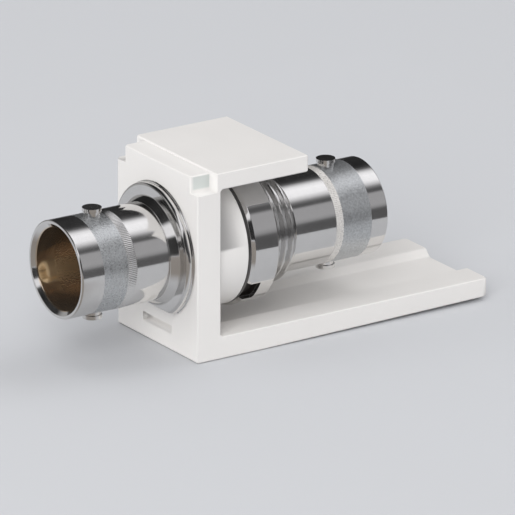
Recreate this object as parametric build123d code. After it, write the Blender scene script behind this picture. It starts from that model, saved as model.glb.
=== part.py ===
from build123d import *
from math import cos, radians, sin
import os

# A double-ended bayonet coaxial coupler, clamped in a snap-in panel housing.
# All sizes are in mm. The origin is where the coupler axis meets the front face
# of the housing: +X across the housing, +Y towards the wiring side, +Z up.

# Housing: one moulded C shape of front wall, top plate and long latch arm
side_margin = 0.15
plate_gap = 0.55
wall_thickness = 2.7
bezel_depth = 2.18
bezel_drop = 0.23
corner_notch_width = 1.35
corner_notch_height = 1.85
top_plate_thickness = 1.72
top_plate_length = 12.68
edge_break = 0.16

# Latch arm: a shallow channel between two rails, its underside rising to the tip
arm_gap = 0.58
arm_length = 33.85
arm_height = 2.29
arm_flat_length = 7.6
arm_tip_rise = 0.37
rail_width = 3.6
channel_depth = 0.76
channel_slope_run = 0.7
arm_tip_round = 0.6

# Boss behind the wall, the rib that carries it and the keying slot in the front
boss_inset = 0.3
boss_length = 3.57
boss_chamfer = 0.12
rib_width = 3.6
slot_width = 5.1
slot_height = 0.87
slot_depth = 0.9
slot_above_underside = 1.7

# Coupler, the same at both ends
coupler_length = 35.0
front_projection = 11.5
barrel_radius = 4.825
barrel_bore_radius = 4.05
barrel_bore_depth = 8.4
mouth_chamfer = 0.13
mouth_inner_chamfer = 0.3
lip_thickness = 0.8
lip_bore_radius = 2.4

# Flange of the front shell, seated on the housing
flange_overhang = 0.12
flange_thickness = 1.06
flange_bevel_run = 0.55
flange_bevel_fall = 0.26
flange_rim_width = 0.2
flange_seat_inset = 0.6
flange_flat = 5.47
collar_width = 0.6
collar_step = 0.14
root_fillet = 0.52
root_fillet_steps = 4

# Neck of the front shell: full diameter to the end of the nut, thread root behind it
neck_radius = 5.5
thread_root_radius = 5.05
neck_flat = 5.1
neck_end = 12.55
thread_relief_overlap = 0.3
neck_end_chamfer = 0.25
shoulder_chamfer = 0.3
spigot_radius = 4.3
spigot_length = 3.2

# Lock washer and nut behind the boss
washer_thickness = 0.26
washer_inset = 0.03
washer_teeth = 10
washer_slot_width = 1.2
washer_slot_depth = 0.45
nut_wall = 1.33
nut_length = 3.16
nut_front_chamfer = 0.45
nut_rear_chamfer = 0.3
nut_notch_width = 2.55
nut_notch_length = 1.35
nut_notch_depth = 0.8
nut_notch_angle = -39.0

# Bayonet lugs: headed pins through the barrel wall, above and below
lug_setback = 4.1
lug_shank_radius = 0.82
lug_head_radius = 0.95
lug_head_height = 0.36
lug_rise = 0.745
lug_root_inset = 0.07

# Insulators and the double-ended centre contact
insulator_radius = 3.2
contact_radius = 1.05
contact_recess = 3.2
contact_collar_radius = 1.6
contact_collar_length = 1.2
socket_radius = 0.68
socket_depth = 5.4
finger_slot_width = 0.2
finger_slot_length = 4.6
contact_tip_chamfer = 0.16
socket_entry_chamfer = 0.12

# Clearances, and how close two places must be to count as the same
hole_clearance = 0.06
fit_clearance = 0.02
same_place = 0.02

# Places worked out from the sizes above
nut_radius = neck_radius + nut_wall
flange_radius = nut_radius + flange_overhang
half_width = flange_radius + side_margin
plate_underside = nut_radius + plate_gap
top = plate_underside + top_plate_thickness
arm_top = -nut_radius - arm_gap
underside = arm_top - arm_height
channel_floor = arm_top - channel_depth
arm_tip_middle = (arm_top + underside + arm_tip_rise) / 2
boss_radius = nut_radius - boss_inset
boss_rear = wall_thickness + boss_length
washer_radius = boss_radius - washer_inset
front_mouth = -front_projection
rear_mouth = coupler_length - front_projection
coupler_middle = (front_mouth + rear_mouth) / 2
half_coupler = coupler_length / 2
washer_rear = boss_rear + washer_thickness
nut_rear = washer_rear + nut_length
shell_bore_radius = insulator_radius + fit_clearance
stop_from_middle = half_coupler - barrel_bore_depth
collar_radius = barrel_radius + collar_width
lug_tip_radius = barrel_radius + lug_rise
lug_root_radius = barrel_bore_radius + lug_root_inset


def turned(points):
    """Revolve a closed outline of (radius, along) points about the coupler axis."""
    outline = make_face(Polyline(*points, close=True))
    return revolve(outline, Axis.Y, 360)


def cylinder_along(radius, start, end):
    """Plain round bar about the coupler axis, from start to end along Y."""
    return turned([(0, start), (radius, start), (radius, end), (0, end)])


def block(x_range, y_range, z_range):
    """Rectangular block between two values on each axis."""
    size = [high - low for low, high in (x_range, y_range, z_range)]
    centre = [(high + low) / 2 for low, high in (x_range, y_range, z_range)]
    return Pos(*centre) * Box(*size)


def above_flat(height, radius, start, end):
    """Block that keeps what lies above a flat cut at -height below the axis."""
    reach = radius + 1
    return block((-reach, reach), (start - 1, end + 1), (-height, reach))


def mirrored(piece):
    """The same piece at the other end of the coupler."""
    return piece.mirror(Plane.XZ.offset(-coupler_middle))


def side_profile():
    """C shape of the housing seen from the side, with the bezel step at its top."""
    outline = [
        (0, underside),
        (arm_flat_length, underside),
        (arm_length, underside + arm_tip_rise),
        (arm_length, arm_top),
        (wall_thickness, arm_top),
        (wall_thickness, plate_underside),
        (top_plate_length, plate_underside),
        (top_plate_length, top),
        (bezel_depth, top),
        (bezel_depth, top - bezel_drop),
        (0, top - bezel_drop),
    ]
    corners = [Vector(0, along, up) for along, up in outline]
    return make_face(Polyline(*corners, close=True))


def near(value, target):
    return abs(value - target) < same_place


def stays_sharp(edge):
    """True for the sunk edges of the bezel and for lines over which a face runs on."""
    place = edge.center()
    across = abs(place.X)
    beside_step = place.Z < top - same_place and across < half_width - same_place
    on_step = near(place.Y, bezel_depth) and beside_step
    notch_side = near(across, half_width - corner_notch_width)
    notch_corner = notch_side and near(place.Z, top - corner_notch_height)
    bend = near(place.Y, arm_flat_length) and place.Z < arm_top
    past_tip_round = place.Y > arm_length - arm_tip_round - same_place
    outer = across > half_width - arm_tip_round - same_place
    tip_side = past_tip_round and outer and near(place.Z, arm_tip_middle)
    return on_step or notch_corner or bend or tip_side


def softened(body):
    """Round the two upright edges of the arm tip, then break the moulding's other edges."""
    upright = body.edges().filter_by(Axis.Z)
    tip = [e for e in upright if near(e.center().Y, arm_length)]
    tip = [e for e in tip if near(abs(e.center().X), half_width)]
    body = fillet(tip, arm_tip_round)
    return chamfer([e for e in body.edges() if not stays_sharp(e)], edge_break)


def channel_cutter():
    """Trapezoid that hollows the arm between its rails, from the wall to the tip."""
    half_open = half_width - rail_width
    half_floor = half_open - channel_slope_run
    over = 0.5
    slope_over = channel_slope_run * over / channel_depth
    corners = [
        Vector(-half_floor, wall_thickness, channel_floor),
        Vector(half_floor, wall_thickness, channel_floor),
        Vector(half_open + slope_over, wall_thickness, arm_top + over),
        Vector(-half_open - slope_over, wall_thickness, arm_top + over),
    ]
    section = make_face(Polyline(*corners, close=True))
    return extrude(section, amount=arm_length, dir=(0, 1, 0))


def corner_notches():
    """The two square bites at the upper front corners, which key the panel."""
    inner = half_width - corner_notch_width
    low = top - corner_notch_height
    cutters = []
    for side in (-1, 1):
        span = sorted((side * inner, side * (half_width + 1)))
        cutters.append(block(span, (-1, bezel_depth), (low, top + 1)))
    return cutters


def neck_hole():
    """D-shaped hole through the wall and boss that keys the neck."""
    radius = neck_radius + hole_clearance
    bar = cylinder_along(radius, -1, boss_rear + 1)
    return bar & above_flat(neck_flat + hole_clearance, radius, -1, boss_rear)


def make_housing():
    body = extrude(side_profile(), amount=half_width, dir=(1, 0, 0), both=True)
    body -= channel_cutter()
    for notch in corner_notches():
        body -= notch
    body = softened(body)
    boss = turned([
        (0, wall_thickness / 2),
        (boss_radius, wall_thickness / 2),
        (boss_radius, boss_rear - boss_chamfer),
        (boss_radius - boss_chamfer, boss_rear),
        (0, boss_rear),
    ])
    rib = block(
        (-rib_width / 2, rib_width / 2),
        (wall_thickness / 2, boss_rear - boss_chamfer),
        (channel_floor - channel_depth / 2, -boss_radius / 2),
    )
    body = body + boss + rib
    slot_low = underside + slot_above_underside
    body -= block(
        (-slot_width / 2, slot_width / 2),
        (-1, slot_depth),
        (slot_low, slot_low + slot_height),
    )
    return body - neck_hole()


def mouth_points():
    """Outline of the open end of a shell, from its bore stop round to its outside."""
    stop = front_mouth + barrel_bore_depth
    inner = barrel_bore_radius
    return [
        (inner, stop),
        (inner, front_mouth + mouth_inner_chamfer),
        (inner + mouth_inner_chamfer, front_mouth),
        (barrel_radius - mouth_chamfer, front_mouth),
        (barrel_radius, front_mouth + mouth_chamfer),
    ]


def lip_points():
    """Inner lip that stops the insulator, from the insulator bore to the bore stop."""
    stop = front_mouth + barrel_bore_depth
    return [
        (shell_bore_radius, stop + lip_thickness),
        (lip_bore_radius, stop + lip_thickness),
        (lip_bore_radius, stop),
    ]


def lug_hole():
    """Cross hole for the upper and lower lug of the front barrel."""
    radius = lug_shank_radius + fit_clearance
    bar = Cylinder(radius, 2 * barrel_radius + 2)
    return Pos(0, front_mouth + lug_setback, 0) * bar


def root_fillet_points():
    """Concave quarter round from the barrel to the collar face, in equal steps."""
    across = barrel_radius + root_fillet
    along = -flange_thickness - collar_step - root_fillet
    points = []
    for step in range(root_fillet_steps + 1):
        angle = radians(90 * step / root_fillet_steps)
        points.append((
            across - root_fillet * cos(angle),
            along + root_fillet * sin(angle),
        ))
    return points


def flange_and_barrel():
    """Barrel with its bore, root fillet, collar and bevelled flange, up to Y = 0."""
    rim_front = flange_thickness - flange_bevel_fall
    rim_rear = rim_front - flange_rim_width
    points = root_fillet_points()
    points += [(collar_radius, -flange_thickness - collar_step)]
    points += [(collar_radius, -flange_thickness)]
    points += [(flange_radius - flange_bevel_run, -flange_thickness)]
    points += [(flange_radius, -rim_front), (flange_radius, -rim_rear)]
    points += [(flange_radius - flange_seat_inset, 0), (shell_bore_radius, 0)]
    return turned(points + lip_points() + mouth_points())


def make_front_shell():
    head = flange_and_barrel()
    head &= above_flat(flange_flat, flange_radius, front_mouth, 0)
    relief = nut_rear - thread_relief_overlap
    socket = spigot_radius + fit_clearance
    neck = turned([
        (shell_bore_radius, 0),
        (neck_radius, 0),
        (neck_radius, relief),
        (thread_root_radius, relief),
        (thread_root_radius, neck_end - neck_end_chamfer),
        (thread_root_radius - neck_end_chamfer, neck_end),
        (socket, neck_end),
        (socket, neck_end - spigot_length),
        (shell_bore_radius, neck_end - spigot_length),
    ])
    neck &= above_flat(neck_flat, neck_radius, 0, neck_end)
    return head + neck - lug_hole()


def make_rear_shell():
    """Barrel with a plain shoulder and the spigot that is fixed in the neck."""
    shoulder = 2 * coupler_middle - neck_end
    spigot_end = shoulder + spigot_length
    points = [(barrel_radius, shoulder - shoulder_chamfer)]
    points += [(barrel_radius - shoulder_chamfer, shoulder)]
    points += [(spigot_radius, shoulder), (spigot_radius, spigot_end)]
    points += [(shell_bore_radius, spigot_end)]
    points += lip_points() + mouth_points()
    return mirrored(turned(points) - lug_hole())


def make_front_lug():
    """Upper lug of the front barrel: a shank in the wall under a wider head."""
    low_head = lug_tip_radius - lug_head_height
    pin = turned([
        (0, lug_root_radius),
        (lug_shank_radius, lug_root_radius),
        (lug_shank_radius, low_head),
        (lug_head_radius, low_head),
        (lug_head_radius, lug_tip_radius),
        (0, lug_tip_radius),
    ])
    upright = Rot(90, 0, 0) * pin
    return Pos(0, front_mouth + lug_setback, 0) * upright


def make_lock_washer():
    """Flat washer with inward teeth, between the boss and the nut."""
    bore = neck_radius + hole_clearance
    ring = turned([
        (bore, boss_rear),
        (washer_radius, boss_rear),
        (washer_radius, washer_rear),
        (bore, washer_rear),
    ])
    reach = bore + washer_slot_depth
    slot = block(
        (0, reach),
        (boss_rear - 1, washer_rear + 1),
        (-washer_slot_width / 2, washer_slot_width / 2),
    )
    for tooth in range(washer_teeth):
        ring -= Rot(0, 360 * tooth / washer_teeth, 0) * slot
    return ring


def make_lock_nut():
    """Round nut with two spanner notches in its front edge."""
    bore = neck_radius + fit_clearance
    nut = turned([
        (bore, washer_rear),
        (nut_radius - nut_front_chamfer, washer_rear),
        (nut_radius, washer_rear + nut_front_chamfer),
        (nut_radius, nut_rear - nut_rear_chamfer),
        (nut_radius - nut_rear_chamfer, nut_rear),
        (bore, nut_rear),
    ])
    notch = block(
        (nut_radius - nut_notch_depth, nut_radius + 1),
        (washer_rear - 1, washer_rear + nut_notch_length),
        (-nut_notch_width / 2, nut_notch_width / 2),
    )
    for half_turn in (0, 180):
        nut -= Rot(0, -nut_notch_angle + half_turn, 0) * notch
    return nut


def make_front_insulator():
    """Front half of the dielectric: a bead with a pocket for the contact collar."""
    front = coupler_middle - stop_from_middle + lip_thickness
    hole = contact_radius + fit_clearance
    pocket = contact_collar_radius + fit_clearance
    pocket_start = coupler_middle - contact_collar_length / 2
    return turned([
        (hole, front),
        (insulator_radius, front),
        (insulator_radius, coupler_middle),
        (pocket, coupler_middle),
        (pocket, pocket_start),
        (hole, pocket_start),
    ])


def make_centre_contact():
    """Pin with a collar, bored and slit into four spring fingers at each end."""
    tip = half_coupler - contact_recess
    chamfer = contact_tip_chamfer
    entry = socket_entry_chamfer
    half = [
        (0, 0),
        (contact_collar_radius, 0),
        (contact_collar_radius, contact_collar_length / 2),
        (contact_radius, contact_collar_length / 2),
        (contact_radius, tip - chamfer),
        (contact_radius - chamfer, tip),
        (socket_radius + entry, tip),
        (socket_radius, tip - entry),
        (socket_radius, tip - socket_depth),
        (0, tip - socket_depth),
    ]
    end = turned(half)
    reach = contact_radius + 1
    slit = (-finger_slot_width / 2, finger_slot_width / 2)
    along = (tip - finger_slot_length, tip + 1)
    end -= block((-reach, reach), along, slit)
    end -= block(slit, along, (-reach, reach))
    rear = Pos(0, coupler_middle, 0) * end
    return rear + mirrored(rear)


def main():
    front_lug = make_front_lug()
    lower_lug = front_lug.mirror(Plane.XY)
    front_insulator = make_front_insulator()
    parts = {
        "housing": make_housing(),
        "front_shell": make_front_shell(),
        "rear_shell": make_rear_shell(),
        "front_lug_upper": front_lug,
        "front_lug_lower": lower_lug,
        "rear_lug_upper": mirrored(front_lug),
        "rear_lug_lower": mirrored(lower_lug),
        "lock_washer": make_lock_washer(),
        "lock_nut": make_lock_nut(),
        "front_insulator": front_insulator,
        "rear_insulator": mirrored(front_insulator),
        "centre_contact": make_centre_contact(),
    }
    os.makedirs("parts", exist_ok=True)
    for name, part in parts.items():
        export_step(part, f"parts/{name}.step")


main()
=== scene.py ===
"""Looks of a double-ended bayonet coaxial coupler in a white snap-in housing.

All places are in metres in the part's own frame: the origin is where the coupler axis
meets the front face of the housing, +X across, +Y towards the wiring side, +Z up.
"""

import math
from collections import namedtuple

import bmesh
import bpy
import numpy as np
from bpy.props import FloatProperty, FloatVectorProperty, IntProperty, PointerProperty
from mathutils import Matrix, Vector


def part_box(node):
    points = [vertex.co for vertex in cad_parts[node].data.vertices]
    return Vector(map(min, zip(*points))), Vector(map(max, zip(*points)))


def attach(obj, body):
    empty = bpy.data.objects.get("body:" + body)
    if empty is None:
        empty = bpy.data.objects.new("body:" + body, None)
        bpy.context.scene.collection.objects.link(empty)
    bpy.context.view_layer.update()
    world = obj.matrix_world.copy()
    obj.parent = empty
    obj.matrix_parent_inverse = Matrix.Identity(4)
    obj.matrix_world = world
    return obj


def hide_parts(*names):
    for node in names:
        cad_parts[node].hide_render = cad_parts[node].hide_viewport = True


bl_info = {
    "name": "Bayonet coupler looks",
    "version": (1, 0, 0),
    "blender": (4, 5, 0),
    "location": "View3D > Sidebar > Coupler",
    "description": "Builds the shells, nut and finishes of a coaxial coupler in its housing",
    "category": "Object",
}

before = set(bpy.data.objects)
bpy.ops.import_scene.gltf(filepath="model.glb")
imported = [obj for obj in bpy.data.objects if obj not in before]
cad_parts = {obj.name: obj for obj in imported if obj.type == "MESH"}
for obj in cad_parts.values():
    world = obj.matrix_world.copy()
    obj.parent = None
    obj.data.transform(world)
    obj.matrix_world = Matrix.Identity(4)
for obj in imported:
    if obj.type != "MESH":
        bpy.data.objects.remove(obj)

MM = 0.001
BODY = "root"


# Sizes in mm that the frame gives


def low_and_high(node, axis):
    """Where a CAD node starts and ends along an axis, in mm."""
    low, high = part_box(node)
    return low[axis] / MM, high[axis] / MM


X, Y, Z = 0, 1, 2
FRONT_MOUTH, NECK_END = low_and_high("front_shell", Y)
FLANGE_FLAT = -low_and_high("front_shell", Z)[0]
SPIGOT_END, REAR_MOUTH = low_and_high("rear_shell", Y)
BARREL_RADIUS = low_and_high("rear_shell", X)[1]
NUT_FRONT, NUT_REAR = low_and_high("lock_nut", Y)
NUT_RADIUS = low_and_high("lock_nut", X)[1]
INSULATOR_FRONT = low_and_high("front_insulator", Y)[0]
INSULATOR_REAR = low_and_high("rear_insulator", Y)[1]
INSULATOR_RADIUS = low_and_high("front_insulator", X)[1]

# Sizes in mm that the turned pieces add. A chamfer or bevel is (across, along), a point
# (radius, place along Y), and a band, ring or thread (start, end) along Y.

FIT = 0.02
SAME_PLACE = 0.0005
ON_BARREL = 0.005
BARREL_BORE = 4.05
SHELL_BORE = INSULATOR_RADIUS + FIT
STOP_RADIUS = 2.4
STOP_THICKNESS = 0.8
LIP_BEVEL = (0.45, 0.40)
LIP_BREAK = 0.09
FLAT_START = -1.0
CONE_START = -1.58
CONE_END = (5.3, -0.86)
FLANGE_FACE = -0.82
FLANGE_FACE_START = 5.38
FLANGE_RIM = ((6.3, FLANGE_FACE), (6.43, -0.79), (6.54, -0.68), (6.59, -0.5), (6.56, -0.33))
FLANGE_FOOT = ((6.5, -0.2), (6.68, -0.14), (6.7, 0.0))
NECK_RADIUS = 5.5
NECK_OUTSIDE = 5.0
NECK_FLAT = 5.1
NECK_CHAMFER = (0.7, 0.25)
THREAD = (9.3, 12.2)
THREAD_RUNOUT = 0.3
SPIGOT_RADIUS = 4.3
SHOULDER_CHAMFER = 0.3
NUT_FRONT_CHAMFER = 0.3
NUT_REAR_CHAMFER = 0.27
NUT_NOTCH_LENGTH = 1.37
FRONT_BAND = (-9.03, -6.33)
FRONT_REEDS = (-6.33, -5.36)
REAR_REEDS = (17.5, 18.33)
REAR_BAND = (18.33, 21.6)
BAND_SLOPE = 0.06
REED_SLOPE = 0.08

# Places along the barrels that keep the shading straight in and beside the rough bands

FRONT_STEADY_ROWS = (-9.1, -8.0, -7.0, -5.3)
REAR_STEADY_ROWS = (17.4, 19.5, 20.5, 21.7)

# Columns of the turned meshes, rows of the thread, and the turn across a notch wall

BARREL_COLUMNS = 960
NECK_COLUMNS = 480
NUT_COLUMNS = 360
THREAD_ROWS = 72
WALL_TURN = 0.001

# Angle in degrees above which the housing's edges stay sharp, and in radians below which
# neighbouring facets are one flat face

HOUSING_SHARP_ANGLE = 52.0
HOUSING_FLATNESS = math.radians(0.5)

# How far, in mm, the bores' finish stands inside their ends and outside their radius, and
# the notch finish in front of, behind and below the nut's notches

BORE_FINISH_INSET = 0.3
BORE_FINISH_REACH = 0.1
NOTCH_FINISH = (0.13, 0.05, 0.33)


# Sizes and colours that a user would change


def length_setting(name, description, millimetres):
    """Property that holds a length, shown in the scene's unit."""
    return FloatProperty(
        name=name, description=description, default=millimetres * MM, unit="LENGTH", precision=5
    )


def angle_setting(name, description, degrees):
    """Property that holds an angle."""
    return FloatProperty(
        name=name, description=description, default=math.radians(degrees), unit="ROTATION"
    )


def colour_setting(name, description, value):
    """Property that holds a colour."""
    return FloatVectorProperty(
        name=name, description=description, default=value, subtype="COLOR", min=0.0, max=1.0
    )


class ShellSizes(bpy.types.PropertyGroup):
    """Relief of the two shells that the solids leave plain."""

    barrel_radius: length_setting(
        "Barrel radius",
        "Outside radius of both barrels",
        BARREL_RADIUS,
    )
    edge_round: length_setting(
        "Edge round",
        "Radius of the small rounds on the turned edges",
        0.06,
    )
    ridge_count: IntProperty(
        name="Ridges",
        description="Number of fine ridges round the reeded ring",
        default=160,
        min=12,
    )
    ridge_depth: length_setting("Ridge depth", "Depth of the grooves of the reeded ring", 0.042)
    band_depth: length_setting(
        "Band depth",
        "How far the rough band lies below the smooth barrel",
        0.02,
    )
    thread_pitch: length_setting(
        "Thread pitch",
        "Distance from crest to crest of the neck's thread",
        0.8,
    )
    thread_root: length_setting("Thread root", "Radius at the bottom of the thread", 5.05)
    thread_crest: length_setting("Thread crest", "Radius at the top of the thread", 5.48)


class NutSizes(bpy.types.PropertyGroup):
    """Shape of the ring nut behind the boss."""

    radius: length_setting("Nut radius", "Outside radius of the nut", NUT_RADIUS)
    notch_width: length_setting("Notch width", "Width of each spanner notch", 2.55)
    notch_depth: length_setting("Notch depth", "Depth of each spanner notch", 0.8)
    notch_angle: angle_setting(
        "Notch angle",
        "Where the first notch stands, turned from +X towards +Z",
        -39.0,
    )


class FinishColours(bpy.types.PropertyGroup):
    """Base colours of the finishes, and the grey-green painted shade of the housing's corner
    notches.
    """

    housing_white: colour_setting(
        "Housing white",
        "Moulded plastic of the housing",
        (0.83, 0.81, 0.785),
    )
    nickel: colour_setting(
        "Nickel",
        "Bright plate of the shells, nut and lugs",
        (0.74, 0.73, 0.72),
    )
    washer_steel: colour_setting(
        "Washer steel",
        "Dark steel of the lock washer",
        (0.16, 0.155, 0.15),
    )
    dielectric: colour_setting(
        "Dielectric",
        "Waxy insulator round the contact",
        (0.62, 0.53, 0.40),
    )
    gold: colour_setting("Gold", "Plate of the centre contact", (0.98, 0.84, 0.60))
    rough_band: colour_setting("Rough band", "Speckled band of each barrel", (0.61, 0.625, 0.635))
    reeded_ring: colour_setting(
        "Rear reeded ring",
        "Pale ring in front of the rear barrel's rough band",
        (0.80, 0.775, 0.74),
    )
    bore: colour_setting("Bore", "Inside of the two barrels", (0.72, 0.61, 0.49))
    # Near-black colour laid on the floor and walls of the nut's notches
    nut_notch: colour_setting(
        "Nut notch",
        "Blackish floor and walls of the nut's notches",
        (0.045, 0.038, 0.033),
    )
    # Partly a grey-green tint, partly painted shade: the darker colour of the corner notches'
    # recessed backs
    corner_notch_tint_and_shade: colour_setting(
        "Corner notch",
        "Backs of the housing's two corner notches",
        (0.59, 0.62, 0.595),
    )


class StageSettings(bpy.types.PropertyGroup):
    """Where the camera stands, and the colour of the floor."""

    azimuth: angle_setting(
        "Azimuth",
        "Where the camera stands: 0 looks along +Y, 90 along -X",
        56.446,
    )
    elevation: angle_setting("Elevation", "Height of the camera above the horizon", 19.304)
    roll: angle_setting("Roll", "Turn of the camera about its line of sight", 0.151)
    distance: FloatProperty(
        name="Distance",
        description="From the camera to its target",
        default=824.349 * MM,
        unit="LENGTH",
    )
    lens: FloatProperty(
        name="Lens",
        description="Focal length in millimetres on a 36 mm frame",
        default=591.57,
    )
    target: FloatVectorProperty(
        name="Target",
        description="Point that the camera looks at",
        default=(-5.237 * MM, 15.0 * MM, -5.355 * MM),
        subtype="TRANSLATION",
        precision=5,
    )
    floor_colour: colour_setting("Floor", "Colour of the floor", (0.62, 0.63, 0.65))


# Meshes worked out with numpy


def rounded_outline(points, radius, steps=2):
    """Closed outline with each corner replaced by an arc, and its long sides held.

    At a corner with unit directions u and v towards its neighbours, the arc starts at
    corner + t u and ends at corner + t v, where t = radius / tan(half the angle between
    them), held to 0.45 of the shorter side. Its points are the quadratic blend
    (1-s)^2 start + 2 s (1-s) corner + s^2 end, for s from 0 to 1.
    """
    corner = np.asarray(points, float)
    to_next = np.roll(corner, -1, axis=0) - corner
    to_last = np.roll(corner, 1, axis=0) - corner
    next_length = np.linalg.norm(to_next, axis=1)
    last_length = np.linalg.norm(to_last, axis=1)
    ahead = to_next / next_length[:, None]
    behind = to_last / last_length[:, None]
    half = np.arccos(np.clip((ahead * behind).sum(1), -0.9999, 0.9999)) / 2
    reach = np.minimum(radius / np.tan(half), 0.45 * np.minimum(next_length, last_length))
    start = corner + behind * reach[:, None]
    end = corner + ahead * reach[:, None]
    s = np.linspace(0.0, 1.0, steps + 1)[None, :, None]
    arc = (1 - s) ** 2 * start[:, None] + 2 * s * (1 - s) * corner[:, None]
    arc = arc + s**2 * end[:, None]
    return held(arc.reshape(-1, 2))


def held(outline, reach=0.03):
    """Outline with two more points on each long side, one reach inside either end.

    They keep the shading of a long side straight, so only the small rounds bend it.
    """
    side = np.roll(outline, -1, axis=0) - outline
    length = np.linalg.norm(side, axis=1)
    step = side * (reach / length)[:, None]
    points = np.stack([outline, outline + step, outline + side - step], axis=1)
    long_side = length > 6 * reach
    kept = np.stack([np.ones_like(long_side), long_side, long_side], axis=1)
    return points[kept]


def with_rows(outline, radius, places):
    """Outline with points at (radius, place) added on the side that holds them.

    That side is the one where going by way of the first of them adds the least to its
    length.
    """
    rows = np.stack([np.full(len(places), float(radius)), places], axis=-1)
    following = np.roll(outline, -1, axis=0)
    detour = np.linalg.norm(outline - rows[0], axis=1)
    detour += np.linalg.norm(following - rows[0], axis=1)
    detour -= np.linalg.norm(following - outline, axis=1)
    index = int(np.argmin(detour))
    return np.concatenate([outline[: index + 1], rows, outline[index + 1 :]])


def turned(outline, angles):
    """Radii, places along Y and angles of a grid: outline rows by columns of angle."""
    radius = np.repeat(outline[:, :1], len(angles), axis=1)
    along = np.repeat(outline[:, 1:], len(angles), axis=1)
    angle = np.repeat(angles[None, :], len(outline), axis=0)
    return radius, along, angle


def round_points(radius, along, angle):
    """Points of the grid: x = r cos a, y = along, z = r sin a."""
    return np.stack([radius * np.cos(angle), along, radius * np.sin(angle)], axis=-1)


def even_angles(count):
    """Angles of a full turn in equal steps, from 0."""
    return np.arange(count) * (2 * math.pi / count)


def flattened(radius, angle, height):
    """Radius cut by a flat at z = -height: the smaller of r and height / |sin a| below."""
    below = np.maximum(-np.sin(angle), 1e-6)
    return np.minimum(radius, height / below)


def ring_mesh(name, points, sharp_angle=35.0):
    """Mesh of a grid of points that closes on itself in both directions.

    With the columns in falling angle, row i and column j make the face (i, j), (i, j+1),
    (i+1, j+1), (i+1, j), which points outwards. The row after the last is the first, and
    so is the column after the last. Faces that a flat pressed to nothing are taken out.
    """
    points = points[:, ::-1]
    rows, columns = points.shape[:2]
    index = np.arange(rows * columns).reshape(rows, columns)
    right = np.roll(index, -1, axis=1)
    below = np.roll(index, -1, axis=0)
    diagonal = np.roll(right, -1, axis=0)
    faces = np.stack([index, right, diagonal, below], axis=-1).reshape(-1, 4)
    mesh = bpy.data.meshes.new(name)
    mesh.vertices.add(rows * columns)
    mesh.vertices.foreach_set("co", points.reshape(-1).astype(np.float32))
    mesh.loops.add(faces.size)
    mesh.loops.foreach_set("vertex_index", faces.reshape(-1).astype(np.int32))
    mesh.polygons.add(len(faces))
    mesh.polygons.foreach_set("loop_start", np.arange(0, faces.size, 4, dtype=np.int32))
    mesh.update(calc_edges=True)
    form = bmesh.new()
    form.from_mesh(mesh)
    bmesh.ops.remove_doubles(form, verts=form.verts, dist=SAME_PLACE * MM)
    bmesh.ops.dissolve_degenerate(form, dist=SAME_PLACE * MM, edges=form.edges)
    form.to_mesh(mesh)
    form.free()
    mesh.validate()
    shade_smooth(mesh, sharp_angle)
    return mesh


def shade_smooth(mesh, sharp_angle):
    """Smooth shading, with sharp edges where faces meet at more than sharp_angle degrees."""
    mesh.polygons.foreach_set("use_smooth", np.ones(len(mesh.polygons), dtype=bool))
    mesh.set_sharp_from_angle(angle=math.radians(sharp_angle))


def add_piece(name, mesh, material, nodes):
    """Object at the origin that stands for CAD nodes and rides on the body."""
    mesh.materials.append(material)
    piece = bpy.data.objects.new(name, mesh)
    bpy.context.scene.collection.objects.link(piece)
    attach(piece, BODY)
    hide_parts(*nodes)
    return piece


# Materials


def new_material(name):
    """New material with one principled shader; gives the material, its tree and shader."""
    material = bpy.data.materials.new(name)
    material.use_nodes = True
    tree = material.node_tree
    tree.nodes.clear()
    output = tree.nodes.new("ShaderNodeOutputMaterial")
    shader = tree.nodes.new("ShaderNodeBsdfPrincipled")
    tree.links.new(shader.outputs["BSDF"], output.inputs["Surface"])
    return material, tree, shader


def object_coordinates(tree):
    """The piece's own coordinates, in metres."""
    return tree.nodes.new("ShaderNodeTexCoord").outputs["Object"]


def math_node(tree, operation, first, second=None, third=None):
    """Math node whose inputs are sockets or numbers; gives its output socket."""
    node = tree.nodes.new("ShaderNodeMath")
    node.operation = operation
    for socket, value in zip(node.inputs, (first, second, third)):
        if value is None:
            continue
        if isinstance(value, bpy.types.NodeSocket):
            tree.links.new(value, socket)
        else:
            socket.default_value = value
    return node.outputs[0]


def mixed_colour(tree, factor, first, second):
    """Colour between first and second by factor; gives the output socket."""
    node = tree.nodes.new("ShaderNodeMix")
    node.data_type = "RGBA"
    tree.links.new(factor, node.inputs["Factor"])
    for socket, value in ((node.inputs[6], first), (node.inputs[7], second)):
        if isinstance(value, bpy.types.NodeSocket):
            tree.links.new(value, socket)
        else:
            socket.default_value = (*value, 1.0)
    return node.outputs[2]


def new_group(name, inputs, outputs):
    """Shader node group with named sockets: inputs hold (name, kind, default)."""
    group = bpy.data.node_groups.new(name, "ShaderNodeTree")
    for label, kind, default in inputs:
        socket = group.interface.new_socket(label, in_out="INPUT", socket_type=kind)
        if default is not None:
            socket.default_value = default
    for label, kind in outputs:
        group.interface.new_socket(label, in_out="OUTPUT", socket_type=kind)
    return group, group.nodes.new("NodeGroupInput"), group.nodes.new("NodeGroupOutput")


def place_group(tree, group, vector, values):
    """Group node in a material, fed with coordinates and its own values."""
    node = tree.nodes.new("ShaderNodeGroup")
    node.node_tree = group
    tree.links.new(vector, node.inputs["Vector"])
    for label, value in values.items():
        node.inputs[label].default_value = value
    return node


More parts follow.
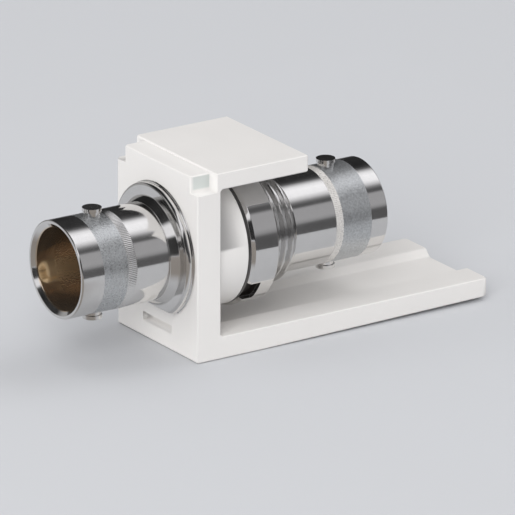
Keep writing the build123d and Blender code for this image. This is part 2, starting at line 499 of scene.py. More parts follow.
def grain_group():
    """Fine surface grain: two layers of noise as a height, and cloudy patches as a mask."""
    inputs = [
        ("Vector", "NodeSocketVector", None),
        ("Fine scale", "NodeSocketFloat", 4000.0),
        ("Coarse scale", "NodeSocketFloat", 300.0),
    ]
    outputs = [("Height", "NodeSocketFloat"), ("Patches", "NodeSocketFloat")]
    group, start, end = new_group("surface_grain", inputs, outputs)
    fine = group.nodes.new("ShaderNodeTexNoise")
    fine.inputs["Detail"].default_value = 3.0
    coarse = group.nodes.new("ShaderNodeTexNoise")
    coarse.inputs["Detail"].default_value = 2.0
    for noise, scale in ((fine, "Fine scale"), (coarse, "Coarse scale")):
        group.links.new(start.outputs["Vector"], noise.inputs["Vector"])
        group.links.new(start.outputs[scale], noise.inputs["Scale"])
    group.links.new(fine.outputs["Fac"], end.inputs["Height"])
    group.links.new(coarse.outputs["Fac"], end.inputs["Patches"])
    return group


def smudge_group():
    """Faint handling marks: patches of noise raised to a soft threshold, as a mask."""
    inputs = [
        ("Vector", "NodeSocketVector", None),
        ("Scale", "NodeSocketFloat", 250.0),
    ]
    group, start, end = new_group("plate_smudge", inputs, [("Mask", "NodeSocketFloat")])
    noise = group.nodes.new("ShaderNodeTexNoise")
    noise.inputs["Detail"].default_value = 5.0
    noise.inputs["Roughness"].default_value = 0.65
    group.links.new(start.outputs["Vector"], noise.inputs["Vector"])
    group.links.new(start.outputs["Scale"], noise.inputs["Scale"])
    spread = group.nodes.new("ShaderNodeMapRange")
    spread.inputs["From Min"].default_value = 0.4
    spread.inputs["From Max"].default_value = 0.75
    group.links.new(noise.outputs["Fac"], spread.inputs["Value"])
    group.links.new(spread.outputs["Result"], end.inputs["Mask"])
    return group


def band_group():
    """Mask of a ring round the Y axis: 1 between From and To along Y, with soft ends."""
    inputs = [
        ("Vector", "NodeSocketVector", None),
        ("From", "NodeSocketFloat", 0.0),
        ("To", "NodeSocketFloat", 1.0),
        ("Softness", "NodeSocketFloat", 0.0001),
    ]
    group, start, end = new_group("ring_band", inputs, [("Mask", "NodeSocketFloat")])
    parts = group.nodes.new("ShaderNodeSeparateXYZ")
    group.links.new(start.outputs["Vector"], parts.inputs[0])
    along = parts.outputs["Y"]
    after = math_node(group, "SUBTRACT", along, start.outputs["From"])
    before = math_node(group, "SUBTRACT", start.outputs["To"], along)
    inside = math_node(group, "MINIMUM", after, before)
    share = math_node(group, "DIVIDE", inside, start.outputs["Softness"])
    shifted = math_node(group, "ADD", share, 0.5)
    node = group.nodes.new("ShaderNodeClamp")
    group.links.new(shifted, node.inputs["Value"])
    group.links.new(node.outputs[0], end.inputs["Mask"])
    return group


def bore_group():
    """Mask of what lies nearer the Y axis than Radius, with a soft edge."""
    inputs = [
        ("Vector", "NodeSocketVector", None),
        ("Radius", "NodeSocketFloat", 0.001),
        ("Softness", "NodeSocketFloat", 0.0001),
    ]
    group, start, end = new_group("inside_radius", inputs, [("Mask", "NodeSocketFloat")])
    parts = group.nodes.new("ShaderNodeSeparateXYZ")
    group.links.new(start.outputs["Vector"], parts.inputs[0])
    square = math_node(group, "MULTIPLY", parts.outputs["X"], parts.outputs["X"])
    square = math_node(group, "MULTIPLY_ADD", parts.outputs["Z"], parts.outputs["Z"], square)
    distance = math_node(group, "SQRT", square)
    inside = math_node(group, "SUBTRACT", start.outputs["Radius"], distance)
    share = math_node(group, "DIVIDE", inside, start.outputs["Softness"])
    shifted = math_node(group, "ADD", share, 0.5)
    node = group.nodes.new("ShaderNodeClamp")
    group.links.new(shifted, node.inputs["Value"])
    group.links.new(node.outputs[0], end.inputs["Mask"])
    return group


GROUPS = {}


def shared(name, maker):
    """The named node group, made the first time it is asked for."""
    if name not in GROUPS:
        GROUPS[name] = maker()
    return GROUPS[name]


def bump(tree, height, strength, distance):
    """Normal bent by a height that stands for up to distance metres."""
    node = tree.nodes.new("ShaderNodeBump")
    node.inputs["Strength"].default_value = strength
    node.inputs["Distance"].default_value = distance
    tree.links.new(height, node.inputs["Height"])
    return node.outputs["Normal"]


CORNER_NOTCH_BACK = 5.75
CORNER_NOTCH_MIDDLE = (("Y", 1.3, 1.0), ("Z", 8.1, 0.66))
CORNER_NOTCH_BLUR = 0.12


def notch_mask(tree, vector):
    """Mask of the flat backs of the housing's two corner notches, where a painted shade with a
    grey-green tint goes.

    A back is where |x| is CORNER_NOTCH_BACK. CORNER_NOTCH_MIDDLE gives, for Y and Z, its
    middle and half its size in mm, and CORNER_NOTCH_BLUR how softly it ends.
    """
    parts = tree.nodes.new("ShaderNodeSeparateXYZ")
    tree.links.new(vector, parts.inputs[0])
    across = math_node(tree, "ABSOLUTE", parts.outputs["X"])
    mask = math_node(tree, "COMPARE", across, CORNER_NOTCH_BACK * MM, FIT * MM)
    for axis, middle, half in CORNER_NOTCH_MIDDLE:
        offset = math_node(tree, "SUBTRACT", parts.outputs[axis], middle * MM)
        reach = math_node(tree, "SUBTRACT", half * MM, math_node(tree, "ABSOLUTE", offset))
        soft = tree.nodes.new("ShaderNodeMapRange")
        soft.inputs["From Min"].default_value = -CORNER_NOTCH_BLUR * MM
        soft.inputs["From Max"].default_value = CORNER_NOTCH_BLUR * MM
        tree.links.new(reach, soft.inputs["Value"])
        mask = math_node(tree, "MULTIPLY", mask, soft.outputs["Result"])
    return mask


def plastic_material(name, colour, roughness, fine_scale, notch_shade_and_tint=None):
    """Satin moulded plastic: fine grain, faint clouds in its colour and gloss, and, if given, a
    painted shade with a grey-green tint on the corner notches' backs.
    """
    material, tree, shader = new_material(name)
    vector = object_coordinates(tree)
    values = {"Fine scale": fine_scale, "Coarse scale": 220.0}
    grain = place_group(tree, shared("grain", grain_group), vector, values)
    darker = [0.965 * value for value in colour]
    tint = mixed_colour(tree, grain.outputs["Patches"], darker, colour)
    # Painted shade with a grey-green tint on the backs of the corner notches
    if notch_shade_and_tint:
        tint = mixed_colour(tree, notch_mask(tree, vector), tint, notch_shade_and_tint)
    tree.links.new(tint, shader.inputs["Base Color"])
    cloud = math_node(tree, "MULTIPLY_ADD", grain.outputs["Patches"], 0.12, roughness - 0.06)
    tree.links.new(cloud, shader.inputs["Roughness"])
    normal = bump(tree, grain.outputs["Height"], 0.25, 0.01 * MM)
    tree.links.new(normal, shader.inputs["Normal"])
    shader.inputs["IOR"].default_value = 1.5
    return material


def ring_mask(tree, vector, start, end):
    """Mask of a ring between two places along Y, in mm."""
    values = {"From": start * MM, "To": end * MM, "Softness": BAND_SLOPE * MM}
    return place_group(tree, shared("band", band_group), vector, values).outputs["Mask"]


def inner_mask(tree, vector, radius):
    """Mask of what lies inside a radius, in mm."""
    values = {"Radius": radius * MM, "Softness": BAND_SLOPE * MM}
    return place_group(tree, shared("bore", bore_group), vector, values).outputs["Mask"]


def blended(tree, mask, base, value):
    """base + mask (value - base), for numbers or sockets."""
    step = math_node(tree, "SUBTRACT", value, base)
    return math_node(tree, "MULTIPLY_ADD", step, mask, base)


Zone = namedtuple("Zone", "limits inside roughness metal colour speckle")


def plate_material(name, colour, roughness, zones=()):
    """Bright plate with faint smudges, and zones that have their own finish.

    A zone is a ring between two limits along Y in mm, or the part of it inside a radius
    in mm. Its speckle says how much of the grain shows there, from 0 to 1.
    """
    material, tree, shader = new_material(name)
    vector = object_coordinates(tree)
    smudge = place_group(tree, shared("smudge", smudge_group), vector, {"Scale": 260.0})
    worn_mask = smudge.outputs["Mask"]
    values = {"Fine scale": 5600.0, "Coarse scale": 700.0}
    grain = place_group(tree, shared("grain", grain_group), vector, values)
    contrast = tree.nodes.new("ShaderNodeMapRange")
    contrast.inputs["From Min"].default_value = 0.32
    contrast.inputs["From Max"].default_value = 0.68
    tree.links.new(grain.outputs["Height"], contrast.inputs["Value"])
    speckle = contrast.outputs["Result"]
    gloss = math_node(tree, "MULTIPLY_ADD", worn_mask, 0.05, roughness)
    worn = [0.93 * value for value in colour]
    tint = mixed_colour(tree, worn_mask, colour, worn)
    metal = math_node(tree, "MULTIPLY_ADD", worn_mask, -0.04, 1.0)
    height = math_node(tree, "MULTIPLY", grain.outputs["Patches"], 0.015)
    for zone in zones:
        mask = ring_mask(tree, vector, *zone.limits)
        if zone.inside:
            mask = math_node(tree, "MULTIPLY", inner_mask(tree, vector, zone.inside), mask)
        spread = 0.16 * zone.speckle
        smoothest = zone.roughness - spread / 2
        speckled = math_node(tree, "MULTIPLY_ADD", speckle, spread, smoothest)
        gloss = blended(tree, mask, gloss, speckled)
        metal = blended(tree, mask, metal, zone.metal)
        darkest = [(1.0 - 0.36 * zone.speckle) * value for value in zone.colour]
        grains = mixed_colour(tree, speckle, darkest, tuple(zone.colour))
        tint = mixed_colour(tree, mask, tint, grains)
        pits = math_node(tree, "MULTIPLY", speckle, mask)
        height = math_node(tree, "MULTIPLY_ADD", pits, zone.speckle, height)
    tree.links.new(tint, shader.inputs["Base Color"])
    tree.links.new(gloss, shader.inputs["Roughness"])
    tree.links.new(metal, shader.inputs["Metallic"])
    tree.links.new(bump(tree, height, 0.6, 0.02 * MM), shader.inputs["Normal"])
    return material


def give_material(node, material):
    """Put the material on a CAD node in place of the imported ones."""
    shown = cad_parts[node]
    shown.data.materials.clear()
    shown.data.materials.append(material)


# Pieces


def ridges(along, angle, limits, count, depth):
    """Reeded ring of narrow grooves, faded at its ends.

    A groove's depth is depth times the square of (1 - cos(count times the angle)) / 2.
    """
    fade = faded(along, limits, REED_SLOPE)
    return -depth * fade * (0.5 - 0.5 * np.cos(count * angle)) ** 2


def sunk_band(along, limits, depth):
    """Band set below the barrel by depth, with short slopes at its ends."""
    return -depth * faded(along, limits, BAND_SLOPE)


def faded(along, limits, slope):
    """1 between the limits, falling to 0 at each over a slope, all in mm but along."""
    inside = np.minimum(along - limits[0] * MM, limits[1] * MM - along)
    return np.clip(inside / (slope * MM), 0.0, 1.0)


def relief_rows(band, reeds):
    """Places along a barrel where its rough band and reeded ring start, level out and end."""
    rows = []
    for (start, end), slope in ((band, BAND_SLOPE), (reeds, REED_SLOPE)):
        rows += [start, start + slope, end - slope, end]
    return rows


def barrel_mesh(name, outline, sizes, band, reeds, steady_rows, flat_start=None):
    """Turned barrel with a rough band and a reeded ring on its outside.

    Behind flat_start, if that is given, the flange's flat cuts it at the bottom.
    """
    outline = rounded_outline(outline, sizes.edge_round / MM, steps=1)
    rows = np.unique(np.round([*relief_rows(band, reeds), *steady_rows], 3))
    outline = with_rows(outline, sizes.barrel_radius / MM, rows)
    radius, along, angle = turned(outline * MM, even_angles(BARREL_COLUMNS))
    relief = ridges(along, angle, reeds, sizes.ridge_count, sizes.ridge_depth)
    relief += sunk_band(along, band, sizes.band_depth)
    outside = np.abs(radius - sizes.barrel_radius) < ON_BARREL * MM
    radius = radius + np.where(outside, relief, 0.0)
    if flat_start is not None:
        cut = flattened(radius, angle, FLANGE_FLAT * MM)
        radius = np.where(along > flat_start * MM, cut, radius)
    return ring_mesh(name, round_points(radius, along, angle))


def mouth_edge(inner, outer, tip, inward):
    """Edge of a barrel's mouth, from the bore over the tip to the outside, in mm.

    LIP_BEVEL leads into the bore and LIP_BREAK takes off the outer edge. The wall lies
    towards inward (1 or -1) on Y.
    """
    bore = (inner, tip + inward * LIP_BEVEL[1])
    edge = (outer, tip + inward * LIP_BREAK)
    return [bore, (inner + LIP_BEVEL[0], tip), (outer - LIP_BREAK, tip), edge]


class COUPLER_OT_front_shell(bpy.types.Operator):
    """Build the front barrel with its mouth, rough band, reeded ring and flange"""

    bl_idname = "coupler.front_shell"
    bl_label = "Front barrel and flange"

    def execute(self, context):
        sizes = context.scene.shell_sizes
        outer = sizes.barrel_radius / MM
        stop = INSULATOR_FRONT - STOP_THICKNESS
        outline = mouth_edge(BARREL_BORE, outer, FRONT_MOUTH, 1)
        outline += [(outer, CONE_START), CONE_END, (FLANGE_FACE_START, FLANGE_FACE)]
        outline += FLANGE_RIM
        outline += FLANGE_FOOT
        outline += [(SHELL_BORE, 0.0), (SHELL_BORE, INSULATOR_FRONT)]
        outline += [(STOP_RADIUS, INSULATOR_FRONT), (STOP_RADIUS, stop), (BARREL_BORE, stop)]
        relief = (FRONT_BAND, FRONT_REEDS, FRONT_STEADY_ROWS)
        mesh = barrel_mesh("front_barrel", outline, sizes, *relief, FLAT_START)
        material = bpy.data.materials["barrel_plate"]
        add_piece("front_barrel", mesh, material, ["front_shell"])
        return {"FINISHED"}


class COUPLER_OT_neck(bpy.types.Operator):
    """Build the neck behind the flange, with the thread that carries the nut"""

    bl_idname = "coupler.neck"
    bl_label = "Threaded neck"

    def execute(self, context):
        sizes = context.scene.shell_sizes
        chamfer_across, chamfer_along = NECK_CHAMFER
        inner = SPIGOT_RADIUS + FIT
        outline = [(SHELL_BORE, 0.0), (NECK_RADIUS, 0.0)]
        outline += [(NECK_RADIUS, NECK_END - chamfer_along)]
        outline += [(NECK_RADIUS - chamfer_across, NECK_END), (inner, NECK_END)]
        outline += [(inner, SPIGOT_END), (SHELL_BORE, SPIGOT_END)]
        outline = rounded_outline(outline, sizes.edge_round / MM)
        outline = with_rows(outline, NECK_RADIUS, np.linspace(*THREAD, THREAD_ROWS))
        radius, along, angle = turned(outline * MM, even_angles(NECK_COLUMNS))
        threaded = self.thread_radius(sizes, along, angle)
        behind = (radius > NECK_OUTSIDE * MM) & (along > THREAD[0] * MM)
        radius = np.where(behind, np.minimum(radius, threaded), radius)
        radius = flattened(radius, angle, NECK_FLAT * MM)
        mesh = ring_mesh("neck", round_points(radius, along, angle))
        material = bpy.data.materials["neck_plate"]
        add_piece("neck", mesh, material, ["front_shell"])
        return {"FINISHED"}

    def thread_radius(self, sizes, along, angle):
        """Radius of the thread, which starts out of the plain neck over THREAD_RUNOUT.

        The phase is along / pitch less the share of a turn. A wave falls from 1 to 0 and
        rises again once in each pitch, and its tooth is 1.6 wave - 0.3, held to 0 and 1.
        """
        phase = along / sizes.thread_pitch - angle / (2 * math.pi)
        wave = np.abs(2 * (phase - np.floor(phase)) - 1)
        tooth = np.clip(1.6 * wave - 0.3, 0.0, 1.0)
        threaded = sizes.thread_root + tooth * (sizes.thread_crest - sizes.thread_root)
        runout = np.clip((along - THREAD[0] * MM) / (THREAD_RUNOUT * MM), 0.0, 1.0)
        return NECK_RADIUS * MM + runout * (threaded - NECK_RADIUS * MM)


class COUPLER_OT_rear_shell(bpy.types.Operator):
    """Build the rear barrel with its mouth, rough band and reeded ring"""

    bl_idname = "coupler.rear_shell"
    bl_label = "Rear barrel"

    def execute(self, context):
        sizes = context.scene.shell_sizes
        outer = sizes.barrel_radius / MM
        stop = INSULATOR_REAR + STOP_THICKNESS
        outline = [(BARREL_BORE, stop), (STOP_RADIUS, stop), (STOP_RADIUS, INSULATOR_REAR)]
        outline += [(SHELL_BORE, INSULATOR_REAR), (SHELL_BORE, SPIGOT_END)]
        outline += [(SPIGOT_RADIUS, SPIGOT_END), (SPIGOT_RADIUS, NECK_END)]
        outline += [(outer - SHOULDER_CHAMFER, NECK_END), (outer, NECK_END + SHOULDER_CHAMFER)]
        outline += mouth_edge(BARREL_BORE, outer, REAR_MOUTH, -1)[::-1]
        relief = (REAR_BAND, REAR_REEDS, REAR_STEADY_ROWS)
        mesh = barrel_mesh("rear_barrel", outline, sizes, *relief)
        material = bpy.data.materials["barrel_plate"]
        add_piece("rear_barrel", mesh, material, ["rear_shell"])
        return {"FINISHED"}


class COUPLER_OT_lock_nut(bpy.types.Operator):
    """Build the ring nut with its two spanner notches"""

    bl_idname = "coupler.lock_nut"
    bl_label = "Ring nut"

    def execute(self, context):
        sizes = context.scene.nut_sizes
        round_size = context.scene.shell_sizes.edge_round / MM
        outer = sizes.radius / MM
        bore = NECK_RADIUS + FIT
        outline = [(bore, NUT_FRONT), (outer - NUT_FRONT_CHAMFER, NUT_FRONT)]
        outline += [(outer, NUT_FRONT + NUT_FRONT_CHAMFER), (outer, NUT_REAR - NUT_REAR_CHAMFER)]
        outline += [(outer - NUT_REAR_CHAMFER, NUT_REAR), (bore, NUT_REAR)]
        outline = rounded_outline(outline, round_size)
        notch_end = NUT_FRONT + NUT_NOTCH_LENGTH
        outline = with_rows(outline, outer, [notch_end - FIT, notch_end + FIT])
        angles = nut_angles(sizes)
        radius, along, angle = turned(outline * MM, angles)
        floor = sizes.radius - sizes.notch_depth
        edge = math.asin(sizes.notch_width / 2 / sizes.radius)
        inside = np.minimum(
            from_notch(angle, sizes.notch_angle), from_notch(angle, sizes.notch_angle + math.pi)
        )
        notched = (inside < edge - WALL_TURN / 2) & (along < notch_end * MM) & (radius > floor)
        points = round_points(radius, along, angle)
        points = np.where(notched[..., None], notch_floor(angle, along, sizes, floor, edge), points)
        mesh = ring_mesh("ring_nut", points)
        material = bpy.data.materials["nut_plate"]
        add_piece("ring_nut", mesh, material, ["lock_nut"])
        return {"FINISHED"}


def from_notch(angle, centre):
    """Size of the turn between an angle and a notch's centre, from 0 to a half turn."""
    return np.abs((angle - centre + math.pi) % (2 * math.pi) - math.pi)


def nut_angles(sizes):
    """Even angles, with one on each notch wall and one WALL_TURN inside it."""
    edge = math.asin(sizes.notch_width / 2 / sizes.radius)
    centres = np.array([sizes.notch_angle, sizes.notch_angle + math.pi])
    walls = np.array([-edge, WALL_TURN - edge, edge - WALL_TURN, edge])
    special = (centres[:, None] + walls[None, :]).reshape(-1) % (2 * math.pi)
    even = even_angles(NUT_COLUMNS)
    gap = from_notch(even[:, None], special[None, :])
    return np.sort(np.concatenate([even[gap.min(axis=1) > 4 * WALL_TURN], special]))


def notch_floor(angle, along, sizes, floor, edge):
    """Points on a notch's flat floor.

    In the notch's own frame the floor stands at distance floor from the axis, and the
    place across it is half the width times (turn from the centre / turn of the wall).
    """
    turn = (angle - sizes.notch_angle + math.pi / 2) % math.pi - math.pi / 2
    centre = angle - turn
    across = sizes.notch_width / 2 * turn / (edge - WALL_TURN)
    x = floor * np.cos(centre) - across * np.sin(centre)
    z = floor * np.sin(centre) + across * np.cos(centre)
    return np.stack([x, along, z], axis=-1)


class COUPLER_OT_finishes(bpy.types.Operator):
    """Make the plate, plastic, steel and gold finishes"""

    bl_idname = "coupler.finishes"
    bl_label = "Finishes"

    def execute(self, context):
        colours = context.scene.finish_colours
        nickel = tuple(colours.nickel)
        inset = BORE_FINISH_INSET
        bore = (BARREL_BORE + BORE_FINISH_REACH, 0.11, 0.965, colours.bore, 0.0)
        barrel_zones = [
            Zone(FRONT_BAND, None, 0.31, 0.8, colours.rough_band, 0.8),
            Zone(REAR_REEDS, None, 0.30, 0.35, colours.reeded_ring, 0.5),
            Zone(REAR_BAND, None, 0.34, 0.8, colours.rough_band, 0.8),
            Zone((FRONT_MOUTH + inset, INSULATOR_FRONT + inset), *bore),
            Zone((INSULATOR_REAR - inset, REAR_MOUTH - inset), *bore),
        ]
        before, beyond, below = NOTCH_FINISH
        notch = (NUT_FRONT - before, NUT_FRONT + NUT_NOTCH_LENGTH + beyond)
        nut_zones = [Zone(notch, NUT_RADIUS - below, 0.55, 0.6, colours.nut_notch, 1.0)]
        plate_material("barrel_plate", nickel, 0.08, barrel_zones)
        plate_material("neck_plate", [0.9 * value for value in nickel], 0.16)
        plate_material("nut_plate", nickel, 0.06, nut_zones)
        plate_material("lug_plate", nickel, 0.10)
        plate_material("washer_plate", tuple(colours.washer_steel), 0.35)
        gold = tuple(colours.gold)
        dull_gold = [Zone((FRONT_MOUTH, REAR_MOUTH), None, 0.30, 0.05, gold, 0.2)]
        plate_material("contact_plate", gold, 0.25, dull_gold)
        white = tuple(colours.housing_white)
        plastic_material("housing_plastic", white, 0.42, 3800.0, tuple(colours.corner_notch_tint_and_shade))
        plastic_material("dielectric_wax", tuple(colours.dielectric), 0.35, 2600.0)
        return {"FINISHED"}


class COUPLER_OT_housing(bpy.types.Operator):
    """Build the moulded housing with softly shaded edges"""

    bl_idname = "coupler.housing"
    bl_label = "Housing"

    def execute(self, context):
        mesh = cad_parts["housing"].data.copy()
        mesh.name = "moulding"
        mesh.materials.clear()
        form = bmesh.new()
        form.from_mesh(mesh)
        bmesh.ops.remove_doubles(form, verts=form.verts, dist=4 * SAME_PLACE * MM)
        bmesh.ops.dissolve_limit(
            form, angle_limit=HOUSING_FLATNESS, verts=form.verts, edges=form.edges
        )
        form.to_mesh(mesh)
        form.free()
        shade_smooth(mesh, HOUSING_SHARP_ANGLE)
        material = bpy.data.materials["housing_plastic"]
        piece = add_piece("moulding", mesh, material, ["housing"])
        normals = piece.modifiers.new("soft_edges", "WEIGHTED_NORMAL")
        normals.mode = "FACE_AREA"
        normals.weight = 50
        normals.keep_sharp = True
        return {"FINISHED"}


class COUPLER_OT_small_parts(bpy.types.Operator):
    """Dress the lugs, washer, insulators and centre contact"""

    bl_idname = "coupler.small_parts"
    bl_label = "Lugs, washer, insulators and contact"

    def execute(self, context):
        materials = bpy.data.materials
        for node in ("front_lug_upper", "front_lug_lower", "rear_lug_upper", "rear_lug_lower"):
            give_material(node, materials["lug_plate"])
        give_material("lock_washer", materials["washer_plate"])
        for node in ("front_insulator", "rear_insulator"):
            give_material(node, materials["dielectric_wax"])
        give_material("centre_contact", materials["contact_plate"])
        return {"FINISHED"}


# Stage


FLOOR_REACH = 6.0
LIGHT_TARGET = (0.0, 0.01, 0.0)

# Soft lights as (name, place and size in metres, power in watts)
LIGHTS = (
    ("softbox", (0.03, 0.42, 0.60), (0.48, 0.42), 0.75),
    ("key", (0.58, -0.62, 0.52), (0.6, 0.6), 5.6),
    ("fill", (-0.25, -0.80, 0.15), (0.4, 0.4), 1.5),
    ("top", (-0.1, -0.1, 0.9), (0.6, 0.6), 0.7),
    ("side", (0.95, 0.25, -0.02), (0.4, 0.4), 0.7),
)


def area_light(name, place, size, power):
    """Rectangular soft light at place, turned to LIGHT_TARGET.

    The plate doesn't mirror it: what it mirrors is the studio and the sheet.
    """
    data = bpy.data.lights.new(name, "AREA")
    data.shape = "RECTANGLE"
    data.size, data.size_y = size
    data.energy = power
    light = bpy.data.objects.new(name, data)
    light.location = place
    light.rotation_mode = "QUATERNION"
    aim = Vector(LIGHT_TARGET) - Vector(place)
    light.rotation_quaternion = aim.to_track_quat("-Z", "Y")
    light.visible_glossy = False
    bpy.context.scene.collection.objects.link(light)


def floor_mesh(name, height, reach, count=9):
    """Square floor: count by count points at one height, out to reach on each side."""
    line = np.linspace(-reach, reach, count)
    x, y = np.meshgrid(line, line, indexing="ij")
    points = np.stack([x, y, np.full_like(x, height)], axis=-1)
    index = np.arange(count * count).reshape(count, count)
    faces = np.stack([index[:-1, :-1], index[1:, :-1], index[1:, 1:], index[:-1, 1:]], axis=-1)
    mesh = bpy.data.meshes.new(name)
    mesh.from_pydata(points.reshape(-1, 3).tolist(), [], faces.reshape(-1, 4).tolist())
    return mesh


# Corners of the sheet in mm, and its two rounds of painted shade: middle, inner and outer radius.
# The left one is a painted shadow under the coupler, and the front one is a taupe painted shade.
SHEET_EDGE = (
    (13, 70), (-65, 70), (-65, -60), (-60, -260), (260, -260), (260, -60), (72, -11),
    (48.6, 21.8),
)
SHADE_LEFT = ((-10, 12), 5, 20)
SHADE_FRONT = ((60, -80), 84, 92)
TAUPE_SHADE = (0.29, 0.265, 0.24)


def sheet_mesh(name, height):
    """Paper under the object that only the plate reflects, with SHEET_EDGE as its edge."""
    corners = [(x * MM, y * MM, height) for x, y in SHEET_EDGE]
    mesh = bpy.data.meshes.new(name)
    mesh.from_pydata(corners, [], [list(range(len(corners)))])
    return mesh


def round_shade(tree, vector, height, centre, inner, outer):
    """Mask of a soft round shadow: 1 within inner of centre, 0 beyond outer, in mm."""
    distance = tree.nodes.new("ShaderNodeVectorMath")
    distance.operation = "DISTANCE"
    tree.links.new(vector, distance.inputs[0])
    distance.inputs[1].default_value = (centre[0] * MM, centre[1] * MM, height)
    fade = tree.nodes.new("ShaderNodeMapRange")
    fade.interpolation_type = "SMOOTHSTEP"
    fade.inputs["From Min"].default_value = outer * MM
    fade.inputs["From Max"].default_value = inner * MM
    tree.links.new(distance.outputs["Value"], fade.inputs["Value"])
    return fade.outputs["Result"]


def matt_paper(name, colour):
    """Matt paper with very faint clouds; gives its material, tree, shader and tint."""
    material, tree, shader = new_material(name)
    vector = object_coordinates(tree)
    values = {"Fine scale": 900.0, "Coarse scale": 6.0}
    grain = place_group(tree, shared("grain", grain_group), vector, values)
    darker = [0.97 * value for value in colour]
    tint = mixed_colour(tree, grain.outputs["Patches"], darker, colour)
    shader.inputs["Roughness"].default_value = 0.85
    shader.inputs["Specular IOR Level"].default_value = 0.2
    return material, tree, shader, tint


def sheet_material(colour, height):
    """Matt paper with a painted shadow left of the coupler and a taupe painted shade in front on
    the right.
    """
    material, tree, shader, tint = matt_paper("sheet_paper", colour)
    vector = object_coordinates(tree)
    # Painted shadow: the paper darkens to 0.45 of its colour under and left of the coupler
    left = round_shade(tree, vector, height, *SHADE_LEFT)
    tint = mixed_colour(tree, left, tint, [0.45 * value for value in colour])
    # Painted shade, tinted taupe, in front of the coupler on the right
    front = round_shade(tree, vector, height, *SHADE_FRONT)
    tint = mixed_colour(tree, front, tint, TAUPE_SHADE)
    tree.links.new(tint, shader.inputs["Base Color"])
    return material


def floor_material(colour):
    """Plain matt paper."""
    material, tree, shader, tint = matt_paper("floor_paper", colour)
    tree.links.new(tint, shader.inputs["Base Color"])
    return material


def soft_patch(tree, direction, centre, inner, outer):
    """Mask of the directions within an angle of centre, fading out from inner to outer."""
    dot = tree.nodes.new("ShaderNodeVectorMath")
    dot.operation = "DOT_PRODUCT"
    tree.links.new(direction, dot.inputs[0])
    dot.inputs[1].default_value = Vector(centre).normalized()
    fade = tree.nodes.new("ShaderNodeMapRange")
    fade.inputs["From Min"].default_value = math.cos(math.radians(outer))
    fade.inputs["From Max"].default_value = math.cos(math.radians(inner))
    tree.links.new(dot.outputs["Value"], fade.inputs["Value"])
    return fade.outputs["Result"]


# Brightness of the studio behind and in front of the object, by turn from the right
# horizon over the top to the left one: (degrees, brightness)
REAR_ARCH = (
    (0, 0.10), (5, 0.12), (11, 0.33), (17, 0.41), (42, 0.40), (47, 0.11), (52, 0.10),
    (58, 0.24), (66, 0.74), (74, 1.12), (90, 1.20), (99, 1.0), (105, 0.55), (111, 0.13),
    (118, 0.04), (127, 0.024),
)
FRONT_ARCH = ((0, 0.025), (37, 0.025), (44, 0.95), (67, 0.95), (76, 0.03), (98, 0.02))

# Cards in front as (direction, inner and outer angle in degrees, brightness)
WALL = ((-0.93, -0.30, 0.0), 16, 28, 0.38)
CARD = ((-0.35, -0.92, 0.15), 14, 26, 0.55)
MATT_LIGHT = (0.56, 0.56, 0.57)


def arch_colour(tree, share, arch):
    """Grey that follows an arch of (degrees, brightness); gives the output socket."""
    node = tree.nodes.new("ShaderNodeValToRGB")
    ramp = node.color_ramp
    while len(ramp.elements) < len(arch):
        ramp.elements.new(0.5)
    for element, (degrees, value) in zip(ramp.elements, arch):
        element.position = degrees / 180
        element.color = (value, value, 1.03 * value, 1.0)
    tree.links.new(share, node.inputs["Fac"])
    return node.outputs[0]


def studio_world():
    """Studio far round the object.

    Behind it (y above 0) the brightness follows REAR_ARCH. In front it follows FRONT_ARCH,
    with a white card ahead of the mouth and a pale wall on the left. Matt surfaces are lit
    by an even grey instead.
    """
    world = bpy.data.worlds.new("studio")
    world.use_nodes = True
    tree = world.node_tree
    tree.nodes.clear()
    output = tree.nodes.new("ShaderNodeOutputWorld")
    background = tree.nodes.new("ShaderNodeBackground")
    direction = tree.nodes.new("ShaderNodeTexCoord").outputs["Generated"]
    parts = tree.nodes.new("ShaderNodeSeparateXYZ")
    tree.links.new(direction, parts.inputs[0])
    turn = math_node(tree, "ARCTAN2", parts.outputs["Z"], parts.outputs["X"])
    share = math_node(tree, "DIVIDE", turn, math.pi)
    cards = 0.0
    for *patch, brightness in (WALL, CARD):
        mask = soft_patch(tree, direction, *patch)
        cards = math_node(tree, "MULTIPLY_ADD", mask, brightness, cards)
    front = arch_colour(tree, share, FRONT_ARCH)
    front = mixed_colour(tree, cards, front, (1.0, 1.0, 1.0))
    behind = tree.nodes.new("ShaderNodeMapRange")
    behind.inputs["From Min"].default_value = -0.05
    behind.inputs["From Max"].default_value = 0.15
    tree.links.new(parts.outputs["Y"], behind.inputs["Value"])
    rear = arch_colour(tree, share, REAR_ARCH)
    mirrored = mixed_colour(tree, behind.outputs["Result"], front, rear)
    diffuse = tree.nodes.new("ShaderNodeLightPath").outputs["Is Diffuse Ray"]
    colour = mixed_colour(tree, diffuse, mirrored, MATT_LIGHT)
    tree.links.new(colour, background.inputs["Color"])
    tree.links.new(background.outputs[0], output.inputs["Surface"])
    bpy.context.scene.world = world


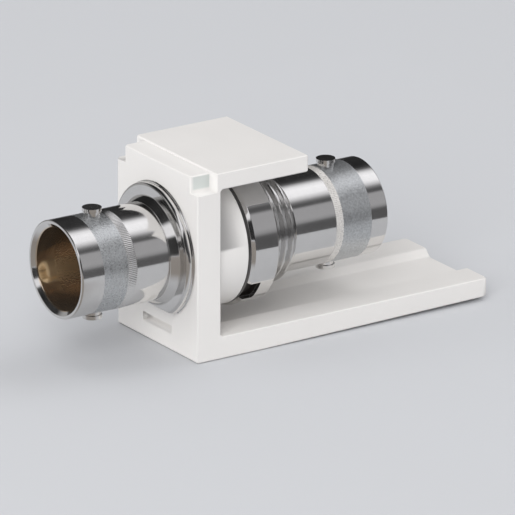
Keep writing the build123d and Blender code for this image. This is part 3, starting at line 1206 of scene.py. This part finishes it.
class COUPLER_OT_stage(bpy.types.Operator):
    """Build the floor, lights and camera"""

    bl_idname = "coupler.stage"
    bl_label = "Stage"

    def execute(self, context):
        scene = context.scene
        stage = scene.stage_settings
        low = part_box("housing")[0][Z] - FIT * MM
        floor = bpy.data.objects.new("floor", floor_mesh("floor", low, FLOOR_REACH))
        floor.visible_glossy = False
        floor.data.materials.append(floor_material(tuple(stage.floor_colour)))
        above = low + FIT / 2 * MM
        sheet = bpy.data.objects.new("sheet", sheet_mesh("sheet", above))
        paper = [0.92 * value for value in stage.floor_colour]
        sheet.data.materials.append(sheet_material(paper, above))
        sheet.visible_camera = False
        sheet.visible_diffuse = False
        sheet.visible_shadow = False
        for ground in (floor, sheet):
            scene.collection.objects.link(ground)
        for light in LIGHTS:
            area_light(*light)
        studio_world()
        self.add_camera(scene, stage)
        scene.view_settings.view_transform = "Standard"
        return {"FINISHED"}

    def add_camera(self, scene, stage):
        """Camera at target + distance * back, turned by roll about that line.

        With azimuth a and elevation e, back is (sin a cos e, -cos a cos e, sin e).
        """
        azimuth, elevation, roll = stage.azimuth, stage.elevation, stage.roll
        level = Vector((math.cos(azimuth), math.sin(azimuth), 0.0))
        back = math.cos(elevation) * Vector((math.sin(azimuth), -math.cos(azimuth), 0.0))
        back.z = math.sin(elevation)
        upright = back.cross(level)
        right = math.cos(roll) * level + math.sin(roll) * upright
        up = -math.sin(roll) * level + math.cos(roll) * upright
        data = bpy.data.cameras.new("camera")
        data.sensor_width = 36.0
        data.lens = stage.lens
        data.clip_start = 0.01
        data.clip_end = 30.0
        camera = bpy.data.objects.new("camera", data)
        turn = Matrix((right, up, back)).transposed().to_4x4()
        place = Vector(stage.target) + stage.distance * back
        camera.matrix_world = Matrix.Translation(place) @ turn
        scene.collection.objects.link(camera)
        scene.camera = camera


# Panel and registration

PIECE_OPERATORS = (
    COUPLER_OT_finishes,
    COUPLER_OT_front_shell,
    COUPLER_OT_neck,
    COUPLER_OT_rear_shell,
    COUPLER_OT_lock_nut,
    COUPLER_OT_housing,
    COUPLER_OT_small_parts,
    COUPLER_OT_stage,
)


class COUPLER_PT_panel(bpy.types.Panel):
    """Sizes, colours and build steps of the coupler's looks"""

    bl_idname = "COUPLER_PT_panel"
    bl_label = "Coupler"
    bl_space_type = "VIEW_3D"
    bl_region_type = "UI"
    bl_category = "Coupler"

    def draw(self, context):
        layout = self.layout
        scene = context.scene
        for group in (
            scene.shell_sizes,
            scene.nut_sizes,
            scene.finish_colours,
            scene.stage_settings,
        ):
            box = layout.box()
            for label in group.bl_rna.properties.keys():
                if label not in ("rna_type", "name"):
                    box.prop(group, label)
        for operator in PIECE_OPERATORS:
            layout.operator(operator.bl_idname)


SETTINGS = {
    "shell_sizes": ShellSizes,
    "nut_sizes": NutSizes,
    "finish_colours": FinishColours,
    "stage_settings": StageSettings,
}


def register():
    """Add the settings, operators and panel to Blender."""
    for group in SETTINGS.values():
        bpy.utils.register_class(group)
    for operator in PIECE_OPERATORS:
        bpy.utils.register_class(operator)
    bpy.utils.register_class(COUPLER_PT_panel)
    for name, group in SETTINGS.items():
        setattr(bpy.types.Scene, name, PointerProperty(type=group))


def unregister():
    """Take the settings, operators and panel out of Blender again."""
    for name in SETTINGS:
        delattr(bpy.types.Scene, name)
    bpy.utils.unregister_class(COUPLER_PT_panel)
    for operator in reversed(PIECE_OPERATORS):
        bpy.utils.unregister_class(operator)
    for group in SETTINGS.values():
        bpy.utils.unregister_class(group)


def corners(box):
    """The box as plain lists of numbers."""
    return [[float(value) for value in corner] for corner in box]


def main():
    """Build every piece and the stage."""
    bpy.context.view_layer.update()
    register()
    bpy.ops.coupler.finishes()
    bpy.ops.coupler.front_shell()
    bpy.ops.coupler.neck()
    bpy.ops.coupler.rear_shell()
    bpy.ops.coupler.lock_nut()
    bpy.ops.coupler.housing()
    bpy.ops.coupler.small_parts()
    bpy.ops.coupler.stage()


if __name__ == "__main__":
    main()
